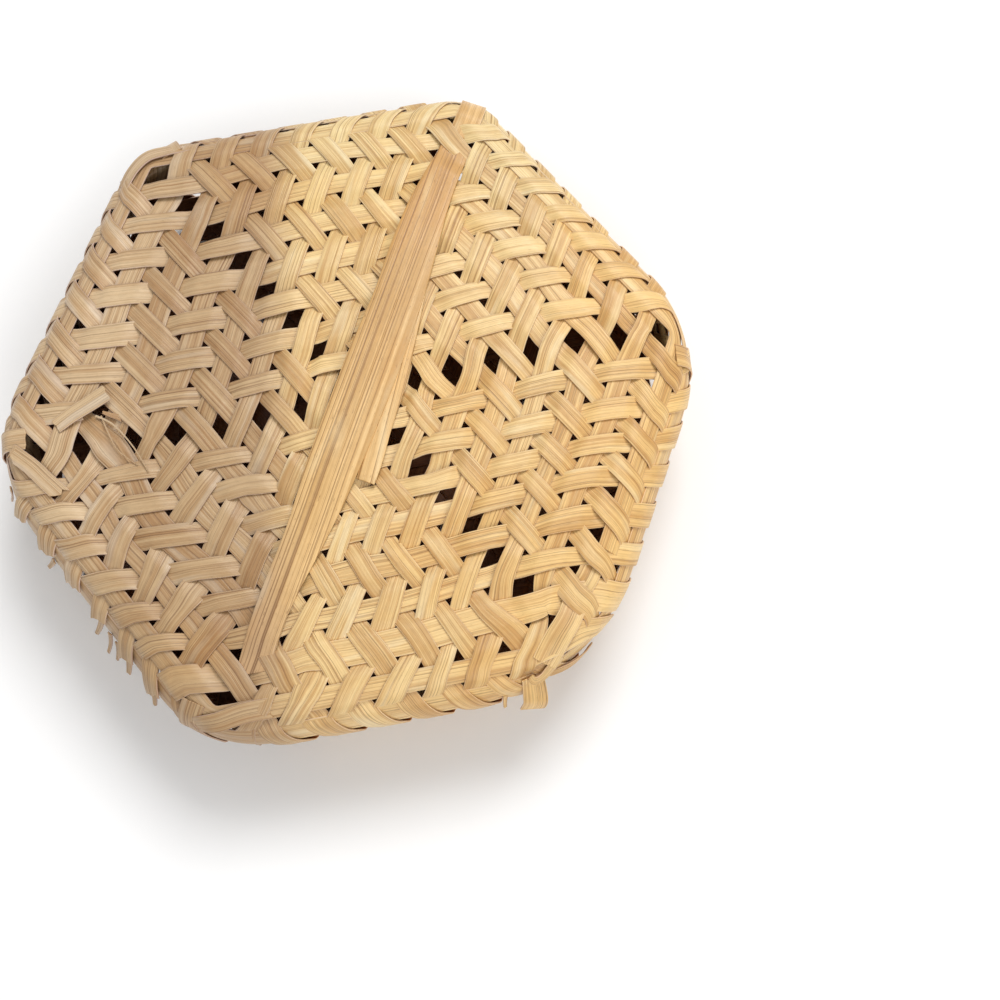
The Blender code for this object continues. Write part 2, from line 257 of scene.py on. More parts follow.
class Form:
    """The middle surface of a plaited box: a flat six-sided face, a rounded edge and upright walls."""

    def __init__(self, inradius, edge_radius, corner_radii, face_height, depth, up, layer):
        self.pitch = inradius / WALL_RING
        self.edge_radius = edge_radius
        self.corner_radii = corner_radii
        self.flat = inradius - edge_radius
        self.face_height = face_height
        self.up = up
        self.layer = layer
        self.rim = (self.flat + edge_radius * (math.pi / 2 - 1) + depth) / self.pitch

    def point(self, ring, turn, level=0.0):
        """The place in space of a ring, a turn and a level."""
        along = ring * self.pitch
        bend = min(max((along - self.flat) / self.edge_radius, 0), math.pi / 2)
        offset = level * self.layer
        radius = min(along, self.flat) + (self.edge_radius + offset) * math.sin(bend)
        corners = [(corner_radius + offset) * math.sin(bend) for corner_radius in self.corner_radii]
        down = self.edge_radius - (self.edge_radius + offset) * math.cos(bend)
        down += max(along - self.flat - self.edge_radius * math.pi / 2, 0)
        x, y = rounded_hexagon(radius, corners, turn)
        return Vector((x, y, self.face_height - self.up * down))

    def drawn(self, x, y, wall):
        """Where the uneven plait of the lid has a place of the unfolded face; all in strip spacings."""
        if self.up < 0:
            return x, y
        ring, beside = in_sector(x, y, wall)
        fade = 1.0
        place = Vector((x, y)) * self.pitch
        if ring > FOLD_RING:             # a wall moves as the fold beside it, and less towards the rim
            fade = max((self.rim - ring) / (self.rim - FOLD_RING), 0)
            place = Matrix.Rotation((wall + 0.5) * SECTOR, 2) @ Vector((FOLD_RING, beside)) * self.pitch
        ring = in_sector(*place, sector_of(*place))[0] / self.pitch
        moved = (PLAIT_SHIFT + PLAIT_DRAW @ place) * max(1 - (ring / FOLD_RING) ** 2, 0)
        for pull_x, pull_y, reach, *pull in PULLS:
            near = 1 - (place - Vector((pull_x, pull_y)) * MM).length_squared / (reach * MM) ** 2
            if near > 0:
                moved += Vector(pull) * MM * near ** 2
        for hole_x, hole_y, opening in HOLES:
            away = place - Vector((hole_x, hole_y)) * MM
            near = 1 - away.length_squared / HOLE_REACH ** 2
            if near > 0:
                moved += away / (away.length + HOLE_HEART) * opening * MM * near ** 2
        return x + moved.x * fade / self.pitch, y + moved.y * fade / self.pitch


def lid_form(sizes):
    return Form(LID_INRADIUS, LID_EDGE_RADIUS, LID_CORNER_RADII, LID_FACE_HEIGHT, LID_DEPTH, 1, sizes.layer)


def base_form(sizes):
    corners = [radius - (LID_INRADIUS - BASE_INRADIUS) for radius in LID_CORNER_RADII]
    face_height = sizes.layer + sizes.strip_thickness / 2
    depth = BASE_HIGH.z - face_height
    return Form(BASE_INRADIUS, BASE_EDGE_RADIUS, corners, face_height, depth, -1, sizes.layer)


def sector_of(x, y):
    """The number of the side that a point of the unfolded face is nearest to, from -3 to 2."""
    return math.floor(math.atan2(y, x) / SECTOR)


def in_sector(x, y, sector):
    """(ring, place along the side) of a point of the unfolded face, as one of the six sides sees it."""
    normal = (sector + 0.5) * SECTOR
    return x * math.cos(normal) + y * math.sin(normal), y * math.cos(normal) - x * math.sin(normal)


def ease(share):
    """A smooth climb from 0 at -1 to 1 at 1."""
    share = min(max(share, -1), 1)
    return 0.5 + 0.75 * share - 0.25 * share ** 3


def between(along, start, end, reach):
    """1 from start to end and 0 beyond them, with a smooth climb and fall."""
    return ease((along - start) / reach) * (1 - ease((along - end) / reach))


class Strip:
    """One strip of a plait, straight on the unfolded surface from rim to rim."""

    def __init__(self, form, family, index, width, sway, seed):
        self.form = form
        self.family = family
        self.index = index
        self.angle = FAMILIES[family]
        self.half = width / 2 / form.pitch
        self.sway = sway / form.pitch
        self.seed = seed
        self.changes = self.level_changes()

    def flat_place(self, along, across=0.0):
        """The (x, y) of a place on the strip, on the unfolded face."""
        shift = self.index + across
        cos, sin = math.cos(self.angle), math.sin(self.angle)
        return along * cos - shift * sin, along * sin + shift * cos

    def wall(self, along):
        """The side over which this half of the strip folds."""
        fold = math.copysign((FOLD_RING - abs(self.index) / 2) * CROSSING, along)
        return sector_of(*self.flat_place(fold)) % SIDES

    def lean(self, sector):
        """The angle from a side's outward direction to the strip."""
        return (sector + 0.5) * SECTOR - self.angle

    def along_at_ring(self, ring, way):
        """Where the strip's middle comes to a ring; way is -1 or 1, for its two halves."""
        lean = self.lean(self.wall(way))
        return (ring - self.index * math.sin(lean)) / math.cos(lean)

    def on_surface(self, along, across):
        """(ring, turn) of a place on the strip. Past the fold it keeps to the side that it folded over."""
        sector = self.wall(along)
        x, y = self.form.drawn(*self.flat_place(along, across), sector)
        ring, beside = in_sector(x, y, sector)
        half_side = FOLD_RING * math.tan(SECTOR / 2)
        if ring < FOLD_RING:
            sector = sector_of(x, y) % SIDES
            ring, beside = in_sector(x, y, sector)
            half_side = ring * math.tan(SECTOR / 2)
        return ring, (sector + 0.5 + beside / (2 * half_side)) * FOLD_RING

    def follows(self, sector):
        """Whether the strip runs along a side."""
        return round(math.cos(self.lean(sector)), 3) == 0

    def leaning_sectors(self, along):
        """The sectors that rule at a crossing, less one that the strip follows, and its ring in all of them.

        They are the crossing's own one, or both beside a diagonal.
        """
        x, y = self.flat_place(along)
        rings = [in_sector(x, y, sector)[0] for sector in range(SIDES)]
        wall = self.wall(along)
        if rings[wall] > FOLD_RING - 0.5:
            return [wall], rings
        nearest = round(2 * max(rings))
        ruling = [sector for sector in range(SIDES) if round(2 * rings[sector]) == nearest]
        return [sector for sector in ruling if not self.follows(sector)], rings

    def level_at(self, along):
        """The layer of the strip at a crossing: 0 beside a side that it follows, else 1 or -1 in turn."""
        sectors, rings = self.leaning_sectors(along)
        if not sectors:
            return 0
        lean = self.lean(sectors[0])
        clockwise = math.sin(-lean) * math.copysign(1, math.cos(lean)) < 0
        return 1 if clockwise == (round(rings[sectors[0]]) % 2 == 0) else -1

    def crossings(self):
        """Places along the strip where it crosses others."""
        half = self.index % 2 / 2
        most = math.floor(self.form.rim) - abs(self.index) / 2
        counts = range(-3 * FOLD_RING, 3 * FOLD_RING)
        return [(n + half) * CROSSING for n in counts if abs(n + half) <= most]

    def level_changes(self):
        """The first level, and [(place, slant, reach, change)] for each climb or fall to the next one."""
        places = self.crossings()
        levels = [self.level_at(along) for along in places]
        changes = []
        reach = SOFTNESS * (0.5 - self.half) * CROSSING
        for start, end, low, high in zip(places, places[1:], levels, levels[1:]):
            if low == high:
                continue
            middle = (start + end) / 2
            sectors = self.leaning_sectors(middle)[0]
            slant = math.tan(self.lean(sectors[0])) if low * high and sectors else 0
            changes.append((middle, slant, reach, high - low))
        return levels[0], changes

    def level(self, along, across):
        """The layer of a place on the strip, part of the way where it climbs or falls."""
        level, changes = self.changes
        for place, slant, reach, change in changes:
            level += change * ease((along + slant * across - place) / reach)
        return level

    def drift(self, along):
        """How far the strip wanders from its line here."""
        return self.sway * 2 * noise.noise(Vector((along * SWAY_SCALE, self.seed * 7.3, 0.5)))

    def untucked(self, way):
        """Whether this end of the strip hangs out over the rim."""
        if self.form.up < 0 or (self.family, self.wall(way)) != UNTUCKED:
            return False
        turn = self.on_surface(self.along_at_ring(FOLD_RING, way), 0)[1]
        return UNTUCKED_TURNS[0] < turn < UNTUCKED_TURNS[1]

    def place(self, along, share):
        """The point of the strip's middle surface at a place along it; share runs from -1 to 1 across."""
        waver = WAVER * noise.noise(Vector((along * WAVER_SCALE, self.seed * 3.1, share)))
        across = share * self.half * (1 + waver) + self.drift(along)
        way = 1 if along > 0 else -1
        untucked = self.untucked(way)
        if untucked:
            ragged = UNTUCKED_RAG * noise.noise(Vector((share * RAG_SCALE, self.seed * 1.7, 0.2)))
            free = self.along_at_ring(FOLD_RING + UNTUCKED_FROM, way)
            along += way * ragged * max(abs(along) - abs(free), 0)
        ring, turn = self.on_surface(along, across)
        level = self.level(along, across)
        if untucked:
            hanging = max(ring - FOLD_RING - UNTUCKED_FROM, 0)
            level += (1 - level) * min(2 * hanging, 1) + (UNTUCKED_LIFT + self.seed % 4) * hanging ** 2
            return self.form.point(ring, turn, level)
        end_level, changes = self.changes
        if way > 0:
            end_level += sum(change[-1] for change in changes)
        tuck_level = TUCK_LEVELS[1 if end_level > 0 else -1]
        turn_radius = (end_level - tuck_level) * self.form.layer / 2 / self.form.pitch
        past = ring - (self.form.rim - turn_radius)
        if past > 0:
            turned = min(past / turn_radius, math.pi)
            ring = self.form.rim - turn_radius + turn_radius * math.sin(turned)
            ring -= max(past - math.pi * turn_radius, 0)
            level = end_level + (tuck_level - end_level) * (1 - math.cos(turned)) / 2
        return self.form.point(ring, turn, level)

    def stations(self):
        """Places along the strip, closer together where it turns back at the rim."""
        places = []
        for way in (-1, 1):
            rim = abs(self.along_at_ring(self.form.rim, way))
            end = rim + (TUCK + 0.1) * CROSSING
            if self.untucked(way):
                beyond = random.Random(self.seed).uniform(*UNTUCKED_LENGTH)
                end = abs(self.along_at_ring(FOLD_RING + beyond, way))
            along, side = 0.0, []
            while along < end:
                side.append(way * along)
                along += RIM_STEP if abs(along - rim) < RIM_REACH else STEP
            side.append(way * end)
            places += side[::-1] if way < 0 else side[1:]
        return places


def deselect_all():
    for obj in bpy.context.selected_objects:
        obj.select_set(False)


def ribbon(name, stations, columns, place, thickness, bevel, seed, material, tone=0.5, closed=False,
           back=True):
    """A strip from a grid: place(station, share) gives its middle surface, modifiers its thickness and edges.

    The face that looks into the box is on the grid's back, or on its front where back is false.
    """
    deselect_all()
    count = len(stations)
    bpy.ops.mesh.primitive_grid_add(x_subdivisions=count - 1, y_subdivisions=columns, size=2)
    obj = bpy.context.object
    obj.name = name
    mesh = obj.data
    mesh.name = name
    shares = [2 * row / columns - 1 for row in range(columns + 1)]
    points = [place(station, share) for share in shares for station in stations]
    mesh.vertices.foreach_set("co", [value for point in points for value in point])
    lengths = [0.0]
    middle = (columns // 2) * count
    for column in range(1, count):
        lengths.append(lengths[-1] + (points[middle + column] - points[middle + column - 1]).length)
    uv = mesh.uv_layers[0]
    uv.name = "fibre"
    corners = [0] * len(mesh.loops)
    mesh.loops.foreach_get("vertex_index", corners)
    places = [(lengths[corner % count] + seed * SEED_STEP, shares[corner // count]) for corner in corners]
    uv.data.foreach_set("uv", [value for place in places for value in place])
    if closed:
        bpy.ops.object.mode_set(mode="EDIT")
        bpy.ops.mesh.select_all(action="SELECT")
        bpy.ops.mesh.remove_doubles(threshold=1e-6)
        bpy.ops.object.mode_set(mode="OBJECT")
    solid = obj.modifiers.new("thickness", "SOLIDIFY")
    solid.thickness = thickness
    solid.offset = 0
    solid.use_even_offset = False
    solid.shell_vertex_group = obj.vertex_groups.new(name="back").name
    edges = obj.modifiers.new("edges", "BEVEL")
    edges.width = bevel
    edges.segments = 2
    edges.limit_method = "ANGLE"
    edges.angle_limit = SHARP
    for modifier in ("thickness", "edges"):
        bpy.ops.object.modifier_apply(modifier=modifier)
    bpy.ops.object.shade_smooth_by_angle(angle=SHARP)
    tone += TONE_SPREAD * random.Random(seed * 7 + 3).uniform(-1, 1)
    attribute = obj.data.attributes.new("tone", "FLOAT", "POINT")
    attribute.data.foreach_set("value", [tone] * len(obj.data.vertices))
    # The faces that look into the box are marked inside, where the material paints shade
    shell = [sum(group.weight for group in vertex.groups) for vertex in obj.data.vertices]
    attribute = obj.data.attributes.new("inside", "FLOAT", "POINT")
    attribute.data.foreach_set("value", shell if back else [1 - weight for weight in shell])
    obj.vertex_groups.clear()
    obj.data.materials.clear()
    obj.data.materials.append(material)
    return obj


def strip_index(number):
    """A strip's place from the middle, where none lies, by its number from 1."""
    return number - STRIPS_EACH_SIDE - (1 if number <= STRIPS_EACH_SIDE else 0)


def plait(form, sizes, prefix, body, material, first_seed, node_name):
    """All strips of the three families of one box."""
    for count, family in enumerate(FAMILIES):
        for number in range(1, 2 * STRIPS_EACH_SIDE + 1):
            index = strip_index(number)
            seed = first_seed + count * FAMILY_SEEDS + number
            draw = random.Random(seed)
            wide = (family, index) == WIDE_STRIP and body == "lid"
            common = sizes.strip_width if body == "lid" else sizes.base_strip_width
            width = (sizes.wide_strip_width if wide else common) * draw.uniform(*WIDTH_DRAW)
            strip = Strip(form, family, index, width, sizes.sway, seed)
            stations = strip.stations()
            parts = {"": stations}
            if (family, index) == BROKEN_STRIP and body == "lid":
                parts = {"_left": [along for along in stations if along < BREAK[0]],
                         "": [along for along in stations if along > BREAK[1]]}
            for part, places in parts.items():
                # The family's tone carries painted light, lighter or deeper by the way its fibres run
                obj = ribbon(f"{prefix}_{family}_{number:02d}{part}", places, COLUMNS, strip.place,
                             sizes.strip_thickness, sizes.edge_bevel, seed, material, PAINTED_LIGHT_FAMILY_TONES[family],
                             back=form.up > 0)
                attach(obj, body)
                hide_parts(node_name(family, number))


def hoop(form, name, ring, width, sizes, body, material, seed, node, gap=None):
    """A hoop round the box; gap is the stretch, in turns, that it leaves open."""
    half = width / 2 / form.pitch
    steps = SIDES * HOOP_STEPS_PER_SIDE
    first, last = 0, steps
    if gap:
        first = round(gap[1] / FOLD_RING * HOOP_STEPS_PER_SIDE)
        last = steps + round(gap[0] / FOLD_RING * HOOP_STEPS_PER_SIDE)

    def place(step, share):
        turn = (step % steps) / HOOP_STEPS_PER_SIDE * FOLD_RING
        return form.point(ring + share * half, turn)

    obj = ribbon(name, range(first, last + 1), COLUMNS, place, sizes.strip_thickness, sizes.edge_bevel, seed,
                 material, closed=not gap, back=form.up < 0)
    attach(obj, body)
    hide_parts(node)


# The splints on the lid along family b, as (along, beside, width) in millimetres from the middle of the lid
LONG_SPLINT = ((-56.0, 3.6, 5.0), (-49.5, 3.4, 5.6), (-40.6, 3.0, 6.0), (-29.0, 3.5, 7.2), (-15.4, 3.5, 9.2),
               (5.0, 3.2, 10.1), (19.6, 2.9, 9.2), (30.0, 2.1, 8.8), (41.0, 1.4, 7.5), (50.0, 1.75, 6.1),
               (55.0, 1.75, 5.8))
SHORT_SPLINT = ((-15.5, 10.0, 3.4), (-10.2, 9.6, 3.8), (-5.2, 9.0, 3.8), (3.6, 8.3, 4.0), (19.0, 5.9, 4.0),
                (32.0, 3.6, 4.0))
LONG_SPLINT_GRAIN = (3.0, 0.035)     # the grain's line: beside the middle, in millimetres, and its lean
SHORT_SPLINT_GRAIN = (8.6, 0.12)
SPLINT_GRAIN_WIDTH = 6.0
SPLINT_CROWN = 0.12 * MM
SPLINT_TILT = 0.35 * MM
SPLINT_SLANT_REACH = 12              # its slanting ends are one part in so many of its length
SPLINT_GAP = 0.06 * MM               # under a splint
SPLINTS_APART = 0.12 * MM            # between the long one and the short one under it
# Along the long one, in millimetres, from where to where and over what reach: over the short one, and on top
OVER_SHORT = (-20, 36, 7)
ON_TOP = (-50, 50.5, 3)


def outline_at(outline, along):
    """[beside, width] of an outline at a place along it, on a smooth curve; all in millimetres."""
    places = [row[0] for row in outline]
    column = min(max(sum(place <= along for place in places) - 1, 0), len(places) - 2)
    start, end = outline[column], outline[column + 1]
    before, after = outline[max(column - 1, 0)], outline[min(column + 2, len(outline) - 1)]
    share = (along - start[0]) / (end[0] - start[0])
    values = []
    for item in (1, 2):
        slope_in = (end[item] - before[item]) / (end[0] - before[0]) * (end[0] - start[0])
        slope_out = (after[item] - start[item]) / (after[0] - start[0]) * (end[0] - start[0])
        rise = share * share * (3 - 2 * share)
        value = start[item] + (end[item] - start[item]) * rise
        value += slope_in * share * (1 - share) ** 2 - slope_out * share ** 2 * (1 - share)
        values.append(value)
    return values


def splint(form, sizes, name, outline, grain, height, slants, tilt, material, seed, node):
    """A flat splint along family b; height(along) is in metres over the lid's middle surface, along in mm."""
    angle = FAMILIES["b"]
    first, last = outline[0][0], outline[-1][0]
    stations = [first + (last - first) * step / SPLINT_STEPS for step in range(SPLINT_STEPS + 1)]

    def place(along, share):
        beside, width = outline_at(outline, along)
        across = (share * width / 2 - beside) * MM
        end = (along - first) / (last - first)
        slant = slants[0] * max(1 - end * SPLINT_SLANT_REACH, 0)
        slant += slants[1] * max((end - 1) * SPLINT_SLANT_REACH + 1, 0)
        reach = along * MM + slant * across / math.tan(SECTOR)
        crown = SPLINT_CROWN * (1 - share * share) + tilt * share * math.sin(math.pi * end)
        x = reach * math.cos(angle) - across * math.sin(angle)
        y = reach * math.sin(angle) + across * math.cos(angle)
        return Vector((x, y, form.face_height + height(along) + crown))

    obj = ribbon(name, stations, SPLINT_COLUMNS, place, sizes.splint_thickness, sizes.edge_bevel, seed,
                 material)
    mesh = obj.data
    to_grain = Matrix.Scale(1 / MM, 4) @ Matrix.Rotation(-angle, 4, "Z")
    places = [to_grain @ vertex.co for vertex in mesh.vertices]
    for place_on, tone in zip(places, mesh.attributes["tone"].data):
        tone.value += SPLINT_DEEPER * place_on.x
    for corner, fibre in zip(mesh.loops, mesh.uv_layers["fibre"].data):
        place_on = places[corner.vertex_index]
        fibre.uv[1] = (place_on.y + grain[0] - grain[1] * place_on.x) / SPLINT_GRAIN_WIDTH
    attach(obj, "lid")
    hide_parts(node)


def on_face(form, x, y, lift):
    """A place over the lid's flat face, in millimetres, and the way that it faces."""
    return Vector((x * MM, y * MM, form.face_height + lift * MM)), Vector((0, 0, 1))


def on_edge(form, ring, turn, lift):
    """A place over the lid's edge or wall, with its lift in millimetres, and the way that it faces."""
    level = lift * MM / form.layer
    place = form.point(ring, turn, level)
    return place, (form.point(ring, turn, level + 1) - place).normalized()


def in_air(form, x, y, z):
    """A place of the tab where it hangs free of the lid, in millimetres, and the way that it faces."""
    return Vector((x, y, z)) * MM, Vector((0.05, -0.7, 0.7))


def scrap(name, path, widths, torn, thickness, seed, material, node, tone):
    """A loose piece along a smooth path of (place, facing), torn at its ends; widths are in millimetres."""
    last = len(path) - 1

    def along_path(station, item):
        start = min(max(math.floor(station), 0), last - 1)
        share = station - start
        before, here, there, after = (path[min(max(start + step, 0), last)][item] for step in (-1, 0, 1, 2))
        return (here * 2 + (there - before) * share + (before * 2 - here * 5 + there * 4 - after) * share ** 2
                + (here * 3 - before - there * 3 + after) * share ** 3) / 2

    def place(station, share):
        rag = torn * noise.noise(Vector((share * TORN_SCALE, seed * 1.9, 0.4)))
        way = 1 if station > last / 2 else -1
        station = max(station, 0) + rag * (abs(2 * station / last - 1) ** 4) * way
        tangent = along_path(station + 0.02, 0) - along_path(station - 0.02, 0)
        beside = along_path(station, 1).cross(tangent).normalized()
        width = widths[0] + (widths[1] - widths[0]) * station / last
        return along_path(station, 0) + beside * share * width / 2 * MM

    count = SCRAP_STEPS * last
    stations = [last * step / count for step in range(count + 1)]
    obj = ribbon(name, stations, COLUMNS, place, thickness, thickness / 4, seed, material, tone)
    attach(obj, "lid")
    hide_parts(node)


class NodeSheet:
    """Adds and links nodes in one tree."""

    def __init__(self, tree):
        self.tree = tree

    def feed(self, socket, value):
        """Links another node's output to a socket, or sets a plain value on it."""
        if isinstance(value, bpy.types.NodeSocket):
            self.tree.links.new(value, socket)
        else:
            socket.default_value = value

    def add(self, kind, inputs=None, **settings):
        node = self.tree.nodes.new(kind)
        for key, value in settings.items():
            setattr(node, key, value)
        for key, value in (inputs or {}).items():
            self.feed(node.inputs[key], value)
        return node

    def math(self, operation, *values):
        return self.add("ShaderNodeMath", dict(enumerate(values)), operation=operation).outputs[0]

    def grey(self, value):
        return self.add("ShaderNodeCombineColor", {"Red": value, "Green": value, "Blue": value}).outputs[0]

    def ramp(self, value, low, high):
        """0 below low, 1 above high, smooth between."""
        node = self.add("ShaderNodeMapRange", {"Value": value, "From Min": low, "From Max": high},
                        interpolation_type="SMOOTHSTEP")
        return node.outputs["Result"]

    def mix(self, share, first, second, blend="MIX"):
        """Mixes two colours."""
        node = self.add("ShaderNodeMix", data_type="RGBA", blend_type=blend)
        for number, value in ((0, share), (6, first), (7, second)):
            self.feed(node.inputs[number], (*value, 1) if isinstance(value, tuple) else value)
        return node.outputs[2]

    def noise(self, along, across, along_scale, across_scale, detail, seed):
        """Noise drawn out along the fibres; the scales are in features per metre and per half strip."""
        along = self.math("MULTIPLY", along, along_scale)
        across = self.math("MULTIPLY", across, across_scale)
        place = self.add("ShaderNodeCombineXYZ", {"X": along, "Y": across, "Z": seed}).outputs[0]
        return self.add("ShaderNodeTexNoise", {"Vector": place, "Scale": 1.0, "Detail": detail,
                                               "Roughness": 0.55}).outputs["Fac"]


# The fibre's patterns: features per metre along it, features per half strip across it, detail and seed
BANDS = (14, 1.3, 2, 1.3)
STREAKS = (24, 4.6, 4, 0.0)
LINES = (13, 8.6, 2, 4.7)
HAIRS = (40, 15, 3, 7.9)
GRAIN = (260, 30, 3, 9.1)
FLECKS = (620, 17, 2, 2.3)
CLOUDS = (90, 0.7, 2, 6.1)
PAINTED_GLINTS = (48, 0.9, 1, 3.7)
RIPPLES = (700, 3.5, 2, 5.2)
# The values from which they begin to show and show fully
DEPTH_REACH = (-0.15, 1.15)
LINE_REACH = (0.54, 0.68)
PAINTED_GLINT_REACH = (0.58, 0.74)
FLECK_REACH = (0.64, 0.76)
PAINTED_SHADE_INSIDE_REACH = (0.6, 0.9)
# Across a half strip: where the dark border begins and ends, and the cut edge begins
BORDER_START = (0.76, 0.92)
BORDER_END = (0.93, 0.97)
CUT_REACH = (0.96, 0.99)
# How much each one tells
DEPTH_WEIGHTS = (0.7, 1.7, 2.3, 2.0)     # of clouds, bands, streaks and hairs
PAINTED_GLINT_SHARE = 0.4
BORDER_SHARE = 0.12
GRAIN_SHADE = (0.3, 0.74)                # by the grain, and plain
RIPPLE_SHADE = 0.22
GRAIN_CUT = (0.6, 0.45)
HAIR_ROUGHNESS = (0.5, 0.16)
STREAK_RELIEF = 1.3
HAIR_RELIEF = 0.8
LINE_RELIEF = 0.8
RELIEF_STRENGTH = 0.6
RELIEF_DEPTH = 0.05 * MM


def fibre_group():
    """Node group: bamboo split along its fibres, with dark lines, flecks, painted glints, pale cut edges that
    are partly a painted highlight, painted shade on the inner faces, and relief.
    """
    group = bpy.data.node_groups.new("Split bamboo", "ShaderNodeTree")
    for way, kind, names in (("INPUT", "NodeSocketColor", ("Pale", "Deep", "Line", "Cut", "Painted glint")),
                             ("INPUT", "NodeSocketFloat", ("Lines", "Flecks", "Across", "Along")),
                             ("OUTPUT", "NodeSocketColor", ("Color",)),
                             ("OUTPUT", "NodeSocketFloat", ("Roughness", "Height"))):
        for name in names:
            group.interface.new_socket(name, in_out=way, socket_type=kind)
    sheet = NodeSheet(group)
    given = sheet.add("NodeGroupInput").outputs
    uv = sheet.add("ShaderNodeUVMap", uv_map="fibre").outputs[0]
    parts = sheet.add("ShaderNodeSeparateXYZ", {"Vector": uv}).outputs
    along, across = parts["X"], sheet.math("MULTIPLY", parts["Y"], given["Across"])
    drawn_out = sheet.math("MULTIPLY", along, given["Along"])
    bands, streaks, lines, hairs = (sheet.noise(drawn_out, across, *pattern)
                                    for pattern in (BANDS, STREAKS, LINES, HAIRS))
    grain, flecks, clouds, painted_glints, ripples = (sheet.noise(along, across, *pattern)
                                              for pattern in (GRAIN, FLECKS, CLOUDS, PAINTED_GLINTS, RIPPLES))

    depth = sheet.add("ShaderNodeAttribute", attribute_name="tone").outputs["Fac"]
    for value, weight in zip((clouds, bands, streaks, hairs), DEPTH_WEIGHTS):
        depth = sheet.math("MULTIPLY_ADD", sheet.math("SUBTRACT", value, 0.5), weight, depth)
    colour = sheet.mix(sheet.ramp(depth, *DEPTH_REACH), given["Pale"], given["Deep"])
    line_mask = sheet.math("MULTIPLY", sheet.ramp(lines, *LINE_REACH), given["Lines"])
    colour = sheet.mix(line_mask, colour, given["Line"])
    # Painted glints: pale patches that stand in for satin highlights
    painted_glint_mask = sheet.math("MULTIPLY", sheet.ramp(painted_glints, *PAINTED_GLINT_REACH), PAINTED_GLINT_SHARE)
    colour = sheet.mix(painted_glint_mask, colour, given["Painted glint"])
    fleck_mask = sheet.math("MULTIPLY", sheet.ramp(flecks, *FLECK_REACH), given["Flecks"])
    colour = sheet.mix(fleck_mask, colour, given["Line"])
    shade = sheet.math("MULTIPLY_ADD", ripples, RIPPLE_SHADE, sheet.math("MULTIPLY_ADD", grain, *GRAIN_SHADE))
    colour = sheet.mix(1.0, colour, sheet.grey(shade), "MULTIPLY")
    beside = sheet.math("ABSOLUTE", parts["Y"])
    border = sheet.math("SUBTRACT", sheet.ramp(beside, *BORDER_START), sheet.ramp(beside, *BORDER_END))
    colour = sheet.mix(sheet.math("MULTIPLY", border, BORDER_SHARE), colour, given["Line"])
    # Cut edges: their own lighter colour, partly a painted highlight where edges catch light
    grained = sheet.math("MULTIPLY_ADD", grain, *GRAIN_CUT)
    colour = sheet.mix(sheet.math("MULTIPLY", sheet.ramp(beside, *CUT_REACH), grained), colour, given["Cut"])
    # Painted shade on the faces that look into the box
    inside = sheet.add("ShaderNodeAttribute", attribute_name="inside").outputs["Fac"]
    painted_shade_colour = sheet.mix(1.0, colour, PAINTED_SHADE_INSIDE_TINT, "MULTIPLY")
    colour = sheet.mix(sheet.ramp(inside, *PAINTED_SHADE_INSIDE_REACH), colour, painted_shade_colour)

    height = sheet.math("MULTIPLY_ADD", hairs, HAIR_RELIEF, grain)
    height = sheet.math("MULTIPLY_ADD", streaks, STREAK_RELIEF, height)
    height = sheet.math("SUBTRACT", height, sheet.math("MULTIPLY", line_mask, LINE_RELIEF))
    roughness = sheet.math("MULTIPLY_ADD", hairs, *HAIR_ROUGHNESS)
    sheet.add("NodeGroupOutput", {"Color": colour, "Roughness": roughness, "Height": height})
    return group


def new_material(name):
    """A material, the sheet of its nodes and its shader's inputs."""
    material = bpy.data.materials.new(name)
    material.use_nodes = True
    return material, NodeSheet(material.node_tree), material.node_tree.nodes["Principled BSDF"].inputs


